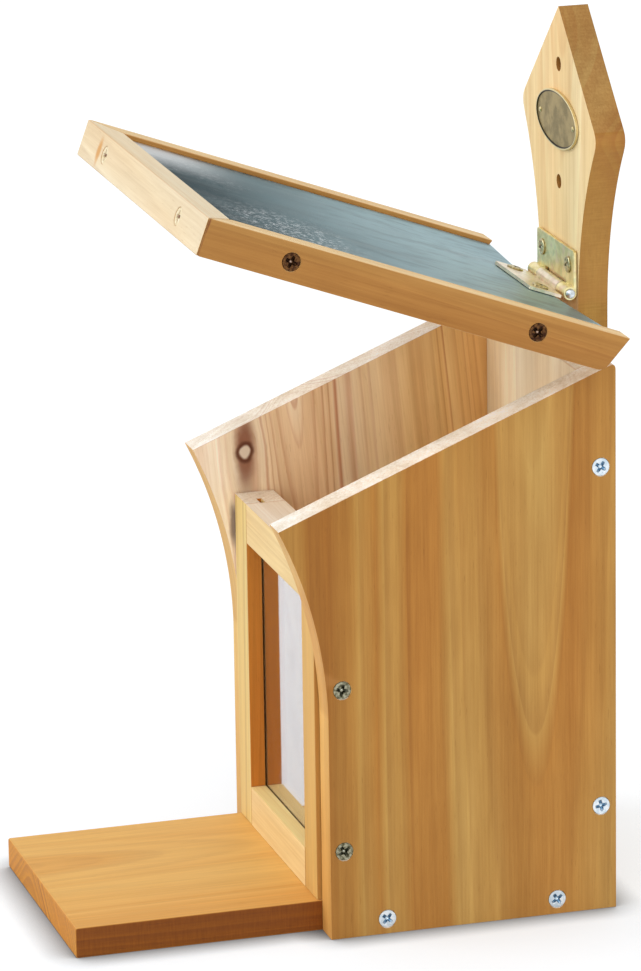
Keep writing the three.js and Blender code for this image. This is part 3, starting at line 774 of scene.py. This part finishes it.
class Looks:
    """The finish of every piece; a wood's colours are its face, its far face, its edges and its ends, which carry
    painted light and shade as well as the wood's own tone.
    """

    side_near = Wood("Wood of the right panel", "f6d6aa", "ac7a37", "e5bb71", slot=Slot.PANEL,
                     pith=(0.0675, 0.052, 0.0), lean=0.004, ring=0.0058, early=0.0, crown=0.11, crown_width=0.018,
                     wander=0.006, contrast=0.22, streak=1.3, drift=0.4, band=0.22, heart="b4823e",
                     heart_span=(-0.01, 0.05), foot="d8a358", foot_span=(0.0, 0.1), seed=3.0)
    # The left panel's inner face turns darker and more orange towards the rear
    side_far = Wood("Wood of the left panel", "b7833e", "f3d8b3", "dfb368", slot=Slot.PANEL,
                    pith=(0.027, 0.036, 0.0), slope=0.1, lean=0.004, ring=0.0036, early=0.5, crown=0.12,
                    crown_width=0.012, contrast=0.85, streak=1.0, band=0.12, dark="bc6c40", heart="ecbf7d",
                    heart_span=(0.012, 0.07), foot="d8a358", foot_span=(0.0, 0.1), seed=11.0,
                    knots=(Knot(-0.0119, 0.1613, 0.0028, 4.2, tone="7c3c1e"),
                           Knot(-0.0165, 0.1325, 0.0012, 5.0, tone="7c6a60", whole=0.0)))
    perch = Wood("Wood of the perch", "dca961", "e0aa59", "84490b", "ca882b", slot=Slot.PERCH, grain=Axis.Y,
                 through=Axis.Z, pith=(-0.018, -0.045, 0.0), lean=0.004, early=0.0, crown=-0.13, contrast=0.16,
                 aside=5.0, streak=0.4, drift=0.24, band=0.14, sawn=0.5, worn="c98b42", seed=24.0)
    back = Wood("Wood of the back panel", "fbe8c2", "dcb987", "c9924e", "fbf0da", through=Axis.Y,
                pith=(0.02, -0.04, 0.0), ring=0.004, contrast=0.35, seed=31.0)
    hanging = Wood("Wood of the hanging board", "f2d39c", "e4c894", "9a6d29", "9a6d29", foot="ab7e38",
                   foot_span=(0.292, 0.304), through=Axis.Y, pith=(0.004, 0.075, 0.25), lean=0.03, ring=0.0078,
                   early=0.0, crown=0.07, crown_width=0.03, contrast=0.8, aside=1.2, streak=0.9, drift=0.4,
                   sawn=0.5, dark="dca462", seed=41.0)
    stile = Wood("Wood of the stiles", "e4ca85", "dcb680", "d0822f", through=Axis.Y, pith=(0.03, 0.05, 0.0),
                 ring=0.0042, contrast=0.25, streak=0.5, seed=51.0)
    # Painted shade: the right stile's darker edge colour stands for the shade on the strip of its side beside the
    # right panel's curved edge; its face is darker too
    near_stile = replace(stile, name="Wood of the right stile", face="d9ae64", edge="b4823f", seed=56.0)
    top_rail = Wood("Wood of the top window rail", "e8cd95", "dcb680", "fbf3e4", "c99a58", grain=Axis.X,
                    through=Axis.Y, pith=(0.02, 0.04, 0.0), ring=0.0042, contrast=0.25, streak=0.6, seed=61.0)
    low_rail = replace(top_rail, name="Wood of the bottom window rail", face="e8cc93", edge="ffe29a", streak=0.7,
                       seed=66.0)
    lid_board = Wood("Wood of the lid board", "caa05e", "d2a868", "c08c46", "d0a262", slot=Slot.LID, grain=Axis.Y,
                     through=Axis.Z, tilt=LID_TILT, pith=(0.02, -0.06, 0.0), lean=0.05, seed=71.0)
    lid_side = Wood("Wood of the lid's side rails", "b17e3f", "b17e3f", "e2bf88", "d2a562", slot=Slot.LID,
                    grain=Axis.Y, tilt=LID_TILT, pith=(0.18, 0.2, 0.0), lean=0.01, ring=0.0028, early=0.0,
                    contrast=0.4, streak=1.2, seed=81.0,
                    knots=(Knot(0.245, -0.1604, 0.012, 0.055, tone="6b2f1a", whole=0.0),))
    lid_front = Wood("Wood of the lid's front rail", "e6d5b4", "e6cfa2", "e6d5b4", "c99a58", grain=Axis.X,
                     through=Axis.Y, tilt=LID_TILT, pith=(0.2, 0.05, 0.0), ring=0.0052, contrast=0.2, streak=0.4,
                     seed=91.0, knots=(Knot(0.245, -0.0625, 0.0036, 0.45, tone="cf9244", whole=0.0),))
    pane = Acrylic("Clear acrylic", slot=Slot.ACRYLIC)
    zinc = Metal("Zinc plated steel", "eef2f4", "cbdae4", "2c668c", "c6e4f2", slot=Slot.ZINC, rough=0.3,
                 cloud=0.0022)
    yellow = Metal("Yellow zinc plated steel", "aaa68e", "56543e", "0c120a", "f2f4ea", slot=Slot.YELLOW,
                   rough=0.34, cloud=0.0013, speck=0.5, seed=3.0)
    bronzed = Metal("Bronzed steel", "74502f", "3a231a", "1a0e0a", "f8e4d4", slot=Slot.BRONZED, rough=0.36,
                    cloud=0.0012, speck=0.4, seed=5.0)
    front_screw = Metal("Pale bronzed steel", "efe2c4", "dccaa0", "6b3a1c", "c9a878", slot=Slot.BRONZED,
                        rough=0.45, cloud=0.0016, speck=0.1, metallic=0.4, seed=6.0)
    leaf_screw = Metal("Hinge screw steel", "d2c8a2", "9c9068", "281c10", "e8dec4", slot=Slot.ZINC, rough=0.26,
                       cloud=0.0012, seed=8.0)
    board_leaf = YellowPlating("Hinge steel", "f6e9b4", "dccd93", slot=Slot.HINGE, rough=0.3, cloud=0.004,
                               speck=0.12, seed=7.0)
    lid_leaf = replace(board_leaf, name="Hinge steel of the lid leaf", colour="eee2c7", second="dbcfb3",
                       rough=0.28, seed=17.0)
    pin = Metal("Pin steel", "e4eaee", "b4bcc2", slot=Slot.PIN, rough=0.22, cloud=0.002, seed=9.0)
    plate_pin = Metal("Plate pin metal", "d2c496", "a0905c", slot=Slot.PIN, rough=0.28, cloud=0.001, seed=10.0)
    plate = PlateMetal("Plate metal", "a5905e", "857448", slot=Slot.PLATE, rough=0.4, cloud=0.006, seed=11.0)
    sheet = SheetMetal("Galvanised sheet", "28464e", "36565e", slot=Slot.SHEET, rough=0.3, cloud=0.02, speck=0.12,
                       edge_tint=0.32, seed=13.0)


@dataclass
class Workshop:
    """Makes pieces from CAD nodes or from surfaces, and hands each to its body and node."""

    nodes: dict[str, bpy.types.Object]
    groups: SharedGroups = field(default_factory=SharedGroups)
    finishes: dict[str, bpy.types.Material] = field(default_factory=dict)

    def points(self, node: str) -> np.ndarray:
        """Reads the corners of a CAD node; returns one row each."""
        return read(self.nodes[node].data.vertices, "co", width=3)

    def hand_over(self, node: str, mesh: bpy.types.Mesh, look: Finish) -> None:
        """Makes a piece of a mesh, with its material, its body and the node that it stands for.

        Args:
            node: The CAD node.
            mesh: The piece's mesh.
            look: The finish.
        """
        if look.name not in self.finishes:
            self.finishes[look.name] = look.build(self.groups)
        piece = placed(node + "_piece", mesh)
        mesh.materials.clear()
        mesh.materials.append(self.finishes[look.name])
        body = self.nodes[node]["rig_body"]
        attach(piece, body)
        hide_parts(node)
        LOG.info("%s: %d faces, on %s", piece.name, len(mesh.polygons), body)

    def eased(self, node: str, look: Finish, ease: float, *holes: str) -> None:
        """Copies a CAD node, merges it, and rounds its edges, but not the rims of its screw holes.

        Args:
            node: The CAD node.
            look: The finish.
            ease: Width of the rounding along the edges.
            *holes: How the names of the screws begin whose holes lie in the node.
        """
        mesh = self.nodes[node].data.copy()
        mesh.name = node + "_eased"
        work = bmesh.new()
        work.from_mesh(mesh)
        bmesh.ops.remove_doubles(work, verts=work.verts, dist=MERGE_GAP)
        bmesh.ops.dissolve_limit(work, angle_limit=FLAT_ANGLE, verts=work.verts, edges=work.edges)
        sharp = [edge for edge in work.edges if len(edge.link_faces) == 2
                 and edge.calc_face_angle(0.0) > SHARP_ANGLE]
        middles = np.array([(edge.verts[0].co + edge.verts[1].co) / 2 for edge in sharp]).reshape(-1, 3)
        in_hole = np.zeros(len(sharp), bool)
        for points in (self.points(name) for name in self.nodes if name.startswith(holes)):
            low, high = points.min(0) - RIM_ROOM, points.max(0) + RIM_ROOM
            in_hole |= ((middles > low) & (middles < high)).all(1)
        outer = [edge for edge, inside in zip(sharp, in_hole) if not inside]
        bmesh.ops.bevel(work, geom=outer, offset=ease, offset_type="OFFSET", segments=3, profile=0.5,
                        affect="EDGES", clamp_overlap=True)
        work.to_mesh(mesh)
        work.free()
        self._shade(mesh)
        self.hand_over(node, mesh, look)

    @staticmethod
    def _shade(mesh: bpy.types.Mesh) -> None:
        """Sets smooth normals that follow the largest faces, and marks how worn each corner is.

        A corner's normal is the sum of its faces' normals, each times its area squared. It is worn where none
        of its faces is large.

        Args:
            mesh: The mesh to finish.
        """
        totals = read(mesh.polygons, "loop_total", np.int32)
        corners = read(mesh.loops, "vertex_index", np.int32)
        areas = np.repeat(read(mesh.polygons, "area").astype(float), totals)
        normals = np.repeat(read(mesh.polygons, "normal", width=3), totals, axis=0)
        sums = np.zeros((len(mesh.vertices), 3))
        np.add.at(sums, corners, normals * areas[:, None] ** 2)
        largest = np.zeros(len(mesh.vertices))
        np.maximum.at(largest, corners, areas)
        lengths = np.linalg.norm(sums, axis=1, keepdims=True)
        lengths[lengths == 0] = 1.0
        mesh.polygons.foreach_set("use_smooth", np.ones(len(mesh.polygons), bool))
        mesh.normals_split_custom_set_from_vertices((sums / lengths).tolist())
        worn = mesh.attributes.new("worn", "FLOAT", "POINT")
        worn.data.foreach_set("value", (largest < WORN_AREA).astype(np.float32))

    def turned(self, node: str, look: Finish, radii: np.ndarray, heights: np.ndarray, seat: Matrix,
               sunk: np.ndarray | None = None) -> None:
        """Builds a closed turned piece from two grids.

        Rows run from the pole at the top to the pole at the bottom, and columns run round the axis. A point
        stands at its radius times the cosine and sine of its column's angle, at its height.

        Args:
            node: The CAD node that it stands for.
            look: The finish.
            radii: Radius of each grid point.
            heights: Height of each grid point.
            seat: Where the axis stands, its third column being the way up.
            sunk: The mark of each grid point: 1 where it takes the painted shade of a cross, -1 where it takes the
                painted glint of a pit.
        """
        rows, columns = radii.shape
        size = rows * columns
        angle = np.linspace(0, 2 * math.pi, columns, endpoint=False)
        grid = np.stack([radii * np.cos(angle), radii * np.sin(angle), heights], axis=2).reshape(-1, 3)
        poles = [[0.0, 0.0, heights[0].mean()], [0.0, 0.0, heights[-1].mean()]]
        points = np.concatenate([grid, poles]) @ np.array(seat.to_3x3()).T + np.array(seat.translation)
        index = np.arange(size).reshape(rows, columns)
        after = np.roll(index, -1, axis=1)
        quads = np.stack([index[:-1], index[1:], after[1:], after[:-1]], axis=2).reshape(-1, 4)
        first = np.stack([np.full(columns, size), index[0], after[0]], axis=1)
        last = np.stack([np.full(columns, size + 1), after[-1], index[-1]], axis=1)
        mesh = bpy.data.meshes.new(node + "_piece")
        mesh.from_pydata(points.tolist(), [], quads.tolist() + first.tolist() + last.tolist())
        mesh.polygons.foreach_set("use_smooth", np.ones(len(mesh.polygons), bool))
        mesh.set_sharp_from_angle(angle=TURNED_SHARP_ANGLE)
        depth = np.zeros(len(points), np.float32)
        if sunk is not None:
            depth[:size] = sunk.reshape(-1)
        mesh.attributes.new("sunk", "FLOAT", "POINT").data.foreach_set("value", depth)
        self.hand_over(node, mesh, look)

    def seat(self, node: str, facing: Facing, dome: float = 0.0, spin: float = 0.0) -> Matrix:
        """Finds where a screw or pin stands from its CAD node.

        Args:
            node: The CAD node.
            facing: The way that its head looks.
            dome: How far the top of its CAD head stands over the plane of its head face.
            spin: Turn about its own axis, in degrees.

        Returns:
            The place of its head face, the third column being the way that it looks.
        """
        up = Vector(facing.value)
        side = Vector((1.0, 0.0, 0.0)) if facing is Facing.UP else Vector((0.0, 0.0, 1.0))
        if self.nodes[node]["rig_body"] == "lid":
            up, side = LID_TURN @ up, LID_TURN @ side
        third = up.cross(side)
        axes = np.array([side, third, up])
        local = self.points(node) @ axes.T
        middle = (local.min(0) + local.max(0)) / 2
        place = Vector((axes.T @ np.array([middle[0], middle[1], local[:, 2].max() - dome])).tolist())
        turn = Matrix((side, third, up)).transposed() @ Matrix.Rotation(math.radians(spin), 3, "Z")
        return Matrix.Translation(place) @ turn.to_4x4()


@dataclass(frozen=True)
class ScrewForm:
    """The form of a cross-slotted wood screw, in metres, from its head face down.

    A countersunk head has a short wall. A pan head has a taller one with a lip under it, and it stands proud
    of its CAD head.
    """

    head_radius: float = 3.5 * MM
    head_depth: float = 2.1 * MM
    shank_radius: float = 1.75 * MM
    length: float = 25 * MM
    dome: float = 0.0
    proud: float = 0.0
    wall: float = 0.3 * MM
    lip: float = 0.05 * MM
    pitch: float = 1.8 * MM
    slot_depth: float = 1.5 * MM
    rim: float = 0.12 * MM
    rim_drop: float = 0.14 * MM
    neck: float = 0.9 * MM
    groove: float = 0.2 * MM
    ridge: float = 0.26 * MM
    point: float = 3.2 * MM
    shadow: float = 0.85
    head_rows: int = 24
    shank_rows: int = 46
    columns: int = 72

    def surface(self) -> tuple[np.ndarray, np.ndarray, np.ndarray]:
        """Works out the screw's surface.

        The head is a disc, crowned where it is domed, less a cross: its depth falls along each arm and off
        each arm's middle line. The cone, the threaded shank and the point follow as a profile, and the thread
        adds a ridge that climbs one pitch in each turn.

        Returns:
            Radius and height grids, from the middle of the head to the tip, and a mark for each point: 1 in the
            arms of the cross, where shade is painted, -1 in the pit at its middle, where a glint is painted, and the
            shadow's value below the rim, where shade is painted on the head's wall.
        """
        angle = np.linspace(0, 2 * math.pi, self.columns, endpoint=False)[None, :]
        ones = np.ones_like(angle)
        share = np.linspace(0.04, 1.0, self.head_rows)[:, None]
        radius = share * (self.head_radius - self.rim) * ones
        across, up = abs(radius * np.cos(angle)), abs(radius * np.sin(angle))
        along, off = np.maximum(across, up), np.minimum(across, up)
        arm = np.clip(1 - along / (0.66 * self.head_radius), 0, 1) ** 0.4
        half = 0.15 * self.head_radius
        wall = np.clip((half * 1.25 - off) / (half * 0.5), 0, 1)
        pit = np.clip(1 - radius / (0.3 * self.head_radius), 0, 1) ** 0.7
        head = self.dome * (1 - share ** 2) - self.slot_depth * np.maximum(arm * wall * 0.75, pit)
        stations = np.array([
            [self.head_radius, -self.rim_drop],
            [self.head_radius - 0.05 * MM, -self.wall],
            [self.head_radius - self.lip, -self.wall - 0.02 * MM],
            [self.shank_radius + self.rim, -self.head_depth],
            [self.shank_radius, -self.head_depth - 0.4 * MM],
        ])
        run = np.linspace(-self.head_depth - self.neck, -self.length, self.shank_rows)[:, None]
        taper = np.clip((run + self.length) / self.point, 0.02, 1) ** 0.8
        thread = self.ridge * (0.5 + 0.5 * np.cos(2 * math.pi * run / self.pitch - angle)) ** 3
        shank = (self.shank_radius - self.groove + thread) * taper
        radii = np.vstack([radius, stations[:, :1] * ones, shank])
        heights = np.vstack([head, stations[:, 1:] * ones, run * ones])
        # Marks of the painted shade in the cross's arms and under the rim, and of the painted glint in the pit
        sunk = np.zeros_like(radii)
        cross = np.clip(arm * wall * 1.5, 0, 1)
        core = np.clip(1.3 - radius / (0.17 * self.head_radius), 0, 1)
        sunk[:len(share)] = cross - (1 + cross) * core
        sunk[len(share) + 1:] = self.shadow
        return radii, heights, sunk


@dataclass
class Assembly:
    """Pieces that belong together, made in one workshop."""

    shop: Workshop

    def spun(self, node: str, look: Finish, profile: list, columns: int, facing: Facing, dome: float = 0.0) -> None:
        """Makes a piece that is alike all round, of rows of radii and rows of heights from its top to its bottom."""
        radii, heights = (np.concatenate(rows)[:, None] * np.ones((1, columns)) for rows in profile)
        self.shop.turned(node, look, radii, heights, self.shop.seat(node, facing, dome))


@dataclass
class Carcass(Assembly):
    """Side panels, perch, back panel and hanging board."""

    ease: float = 0.5 * MM
    hanging_ease: float = 0.8 * MM

    def build(self) -> None:
        """Makes the five boards."""
        eased = self.shop.eased
        for side, wood in zip(SIDES, (Looks.side_far, Looks.side_near)):
            eased(f"side_panel_{side}", wood, self.ease, f"{side}_rear_", f"{side}_frame_", f"{side}_base_")
        eased("base_board", Looks.perch, self.ease, "left_base_", "right_base_")
        eased("back_panel", Looks.back, self.ease, "hanging_board_screw", "left_rear_", "right_rear_")
        eased("hanging_board", Looks.hanging, self.hanging_ease, "hanging_board_screw", "board_leaf_",
              "name_plate_pin")


@dataclass
class Window(Assembly):
    """The framed pane in front."""

    ease: float = 0.35 * MM
    pane_ease: float = 0.15 * MM

    def build(self) -> None:
        """Makes the stiles, the rails and the pane."""
        for side, wood in zip(SIDES, (Looks.stile, Looks.near_stile)):
            self.shop.eased(f"window_stile_{side}", wood, self.ease, f"{side}_frame_")
        self.shop.eased("window_rail_bottom", Looks.low_rail, self.ease)
        self.shop.eased("window_rail_top", Looks.top_rail, self.ease)
        self.shop.eased("window_pane", Looks.pane, self.pane_ease)


@dataclass
class Lid(Assembly):
    """The lid board, its sheet and its rails."""

    ease: float = 0.5 * MM
    sheet_ease: float = 0.12 * MM

    def build(self) -> None:
        """Makes the lid's pieces."""
        eased = self.shop.eased
        eased("lid_board", Looks.lid_board, self.ease, "lid_leaf_", "front_rail_", "left_lid_", "right_lid_")
        eased("roof_sheet", Looks.sheet, self.sheet_ease, "lid_leaf_")
        for side in SIDES:
            eased(f"lid_rail_{side}", Looks.lid_side, self.ease, f"{side}_lid_")
        eased("lid_front_rail", Looks.lid_front, self.ease, "front_rail_")


@dataclass
class Hinge(Assembly):
    """Two leaves and the pin."""

    leaf_ease: float = 0.22 * MM
    half_length: float = 22 * MM
    overhang: float = 0.3 * MM
    pin_radius: float = 1.1 * MM
    head_radius: float = 1.9 * MM
    head_height: float = 0.9 * MM
    columns: int = 32

    def build(self) -> None:
        """Makes the leaves, and the pin: a rounded head, a straight shank and a second rounded head."""
        for place, metal in (("board", Looks.board_leaf), ("lid", Looks.lid_leaf)):
            self.shop.eased(f"hinge_leaf_{place}", metal, self.leaf_ease, f"{place}_leaf_")
        turn = np.linspace(FIRST_RING, math.pi / 2, 8)
        face = self.overhang + self.half_length
        cap, rise = np.sin(turn) * self.head_radius, face + np.cos(turn) * self.head_height
        down = face + self.head_height
        profile = [[cap, [self.head_radius, self.pin_radius, self.pin_radius, self.head_radius], cap[::-1]],
                   [rise - down, np.array([face, face, -face, -face]) - down, -rise[::-1] - down]]
        self.spun("hinge_pin", Looks.pin, profile, self.columns, Facing.RIGHT)


@dataclass
class NamePlate(Assembly):
    """The bare oval plate and its two pins with domed heads."""

    ease: float = 0.3 * MM
    head_radius: float = 1.1 * MM
    dome: float = 0.5 * MM
    shank_radius: float = 0.6 * MM
    length: float = 6 * MM
    tip_radius: float = 0.1 * MM
    tip_length: float = 0.8 * MM
    lip: float = 0.04 * MM
    columns: int = 28

    def build(self) -> None:
        """Makes the plate and its pins: a quarter oval over the head, then a straight shank with a blunt point."""
        self.shop.eased("name_plate", Looks.plate, self.ease, "name_plate_pin")
        turn = np.linspace(FIRST_RING, math.pi / 2, 9)
        profile = [[np.sin(turn) * self.head_radius,
                    [self.head_radius * 0.96, self.shank_radius, self.shank_radius, self.tip_radius]],
                   [np.cos(turn) * self.dome, [-self.lip, -self.lip, self.tip_length - self.length, -self.length]]]
        for side in SIDES:
            self.spun(f"name_plate_pin_{side}", Looks.plate_pin, profile, self.columns, Facing.FRONT, self.dome)


@dataclass
class Fasteners(Assembly):
    """All the wood screws."""

    board: ScrewForm = ScrewForm()
    frame: ScrewForm = ScrewForm(length=18 * MM)
    rear: ScrewForm = ScrewForm(length=21 * MM)
    leaf: ScrewForm = ScrewForm(head_radius=3.25 * MM, head_depth=1.9 * MM, shank_radius=1.3 * MM, length=10 * MM,
                                dome=0.5 * MM, proud=0.6 * MM, wall=0.68 * MM, lip=0.4 * MM, pitch=1.3 * MM,
                                slot_depth=0.9 * MM)

    def build(self) -> None:
        """Makes every screw in the place of its node."""
        for node, form, look, facing, spin in self._rows():
            radii, heights, sunk = form.surface()
            seat = self.shop.seat(node, facing, form.dome - form.proud, spin)
            self.shop.turned(node, look, radii, heights, seat, sunk)

    def _rows(self) -> Iterator[tuple[str, ScrewForm, Metal, Facing, float]]:
        """Lists the screws, each with its cross turned its own way.

        Yields:
            Its node, its form, its finish, the way that its head looks, and the turn of its cross in degrees.
        """
        for side, facing in zip(SIDES, (Facing.LEFT, Facing.RIGHT)):
            for level, spin in (("lower", 12), ("upper", 57)):
                yield f"{side}_rear_screw_{level}", self.board, Looks.zinc, facing, spin
                yield f"{side}_frame_screw_{level}", self.frame, Looks.yellow, facing, spin + 20
            for end, spin in (("front", 50), ("rear", 34)):
                yield f"{side}_base_screw_{end}", self.board, Looks.zinc, facing, spin
                yield f"{side}_lid_rail_screw_{end}", self.board, Looks.bronzed, facing, spin + 30
            yield f"front_rail_screw_{side}", self.board, Looks.front_screw, Facing.FRONT, 4
            yield f"board_leaf_screw_{side}", self.leaf, Looks.leaf_screw, Facing.FRONT, 25
            yield f"lid_leaf_screw_{side}", self.leaf, Looks.leaf_screw, Facing.UP, 70
        for i, spin in enumerate((15, 48, 73), 1):
            yield f"hanging_board_screw_{i}", self.rear, Looks.zinc, Facing.BACK, spin


@dataclass
class Studio:
    """A white room with a pale floor, soft suns and the photograph's camera."""

    target: Triple = (0.000451, -0.000059, 0.166564)
    distance: float = 2.25426
    azimuth: float = 73.814
    elevation: float = 15.877
    roll: float = -0.886
    focal_pixels: float = 5852.9
    image_height: int = 971
    shift: tuple[float, float] = (0.0076, -0.0134)
    ambient: float = 0.86
    floor_half: float = 9.0
    shade_reach: float = 14 * MM
    sun_strength: float = 0.85
    sensor_width: float = 36.0
    clip_end: float = 60.0

    def build(self) -> None:
        """Makes the world, the floor, the suns and the camera."""
        bpy.context.scene.view_settings.view_transform = "Standard"
        self._world()
        self._floor()
        self._suns()
        self._camera()

    @staticmethod
    def _seen(tree: Tree) -> Value:
        """Tells whether a ray comes from the camera, from a glossy surface or through glass.

        Args:
            tree: The tree that asks.

        Returns:
            1 where it does, else 0.
        """
        camera, glossy, through = (tree.value("LightPath", {}, f"Is {kind} Ray")
                                   for kind in ("Camera", "Glossy", "Transmission"))
        return camera.most(glossy).most(through)

    def _world(self) -> None:
        """Makes a world that is white to the eye and gives a plain soft light."""
        world = bpy.data.worlds.new("White room")
        world.use_nodes = True
        bpy.context.scene.world = world
        tree = Tree(world.node_tree)
        background = world.node_tree.nodes["Background"].inputs
        tree.feed(background["Color"], WHITE)
        tree.feed(background["Strength"], self._seen(tree).fit(1.0 - self.ambient, self.ambient))

    def _floor(self) -> None:
        """Makes the floor: a pale matt sheet, white where no shadow falls, with a painted contact shadow that
        darkens it close to what stands on it.
        """
        half = self.floor_half
        mesh = bpy.data.meshes.new("Floor")
        mesh.from_pydata([(-half, -half, 0.0), (half, -half, 0.0), (half, half, 0.0), (-half, half, 0.0)], [],
                         [(0, 1, 2, 3)])
        material = bpy.data.materials.new("Pale floor")
        material.use_nodes = True
        nodes = material.node_tree.nodes
        nodes.remove(nodes["Principled BSDF"])
        tree = Tree(material.node_tree)
        seen = self._seen(tree)
        # Painted contact shadow: ambient occlusion darkens the floor's colour and its glow close to what stands on
        # it
        near = tree.value("AmbientOcclusion", {"Distance": self.shade_reach}, "AO") ** 1.5
        lit = tree.mix(1.0, (0.6, 0.63, 0.66, 1.0), tree.join(near, near, near), "MULTIPLY")
        matt = tree.value("BsdfDiffuse", {"Color": tree.mix(seen, (0.76, 0.76, 0.76, 1.0), lit)})
        glow = tree.value("Emission", {"Color": WHITE, "Strength": seen * near * 0.42})
        tree.feed(nodes["Material Output"].inputs["Surface"], tree.value("AddShader", {0: matt, 1: glow}))
        mesh.materials.append(material)
        placed("Floor", mesh)

    def _suns(self) -> None:
        """Makes the soft suns, each from its name, the direction to it, and its width in degrees."""
        for name, towards, width in (("Key sun", (-0.35, -0.95, 0.5), 32), ("Fill sun", (1.0, -0.3, 0.42), 60)):
            data = bpy.data.lights.new(name, "SUN")
            data.energy = self.sun_strength
            data.angle = math.radians(width)
            sun = placed(name, data)
            sun.rotation_euler = Vector(towards).to_track_quat("Z", "Y").to_euler()
            sun.location = Vector(towards) * 3

    def _camera(self) -> None:
        """Makes the camera from the fitted angle, distance, roll and focal length."""
        az, el, roll = (math.radians(value) for value in (self.azimuth, self.elevation, self.roll))
        away = Vector((math.sin(az) * math.cos(el), -math.cos(az) * math.cos(el), math.sin(el)))
        level = (-away).cross(Vector((0.0, 0.0, 1.0))).normalized()
        upright = level.cross(-away)
        right = level * math.cos(roll) + upright * math.sin(roll)
        up = upright * math.cos(roll) - level * math.sin(roll)
        data = bpy.data.cameras.new("Camera")
        data.sensor_width, data.clip_end = self.sensor_width, self.clip_end
        data.lens = self.focal_pixels * self.sensor_width / self.image_height
        data.shift_x, data.shift_y = self.shift
        camera = placed("Camera", data)
        place = Vector(self.target) + away * self.distance
        camera.matrix_world = Matrix.Translation(place) @ Matrix((right, up, away)).transposed().to_4x4()
        bpy.context.scene.camera = camera


def main() -> None:
    """Builds the sub-assemblies in order."""
    logging.basicConfig(level=logging.INFO, format="%(message)s")
    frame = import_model()
    shop = Workshop(frame["nodes"])
    for part in (Carcass, Window, Lid, Hinge, NamePlate, Fasteners):
        part(shop).build()
    Studio().build()


if __name__ == "__main__":
    main()
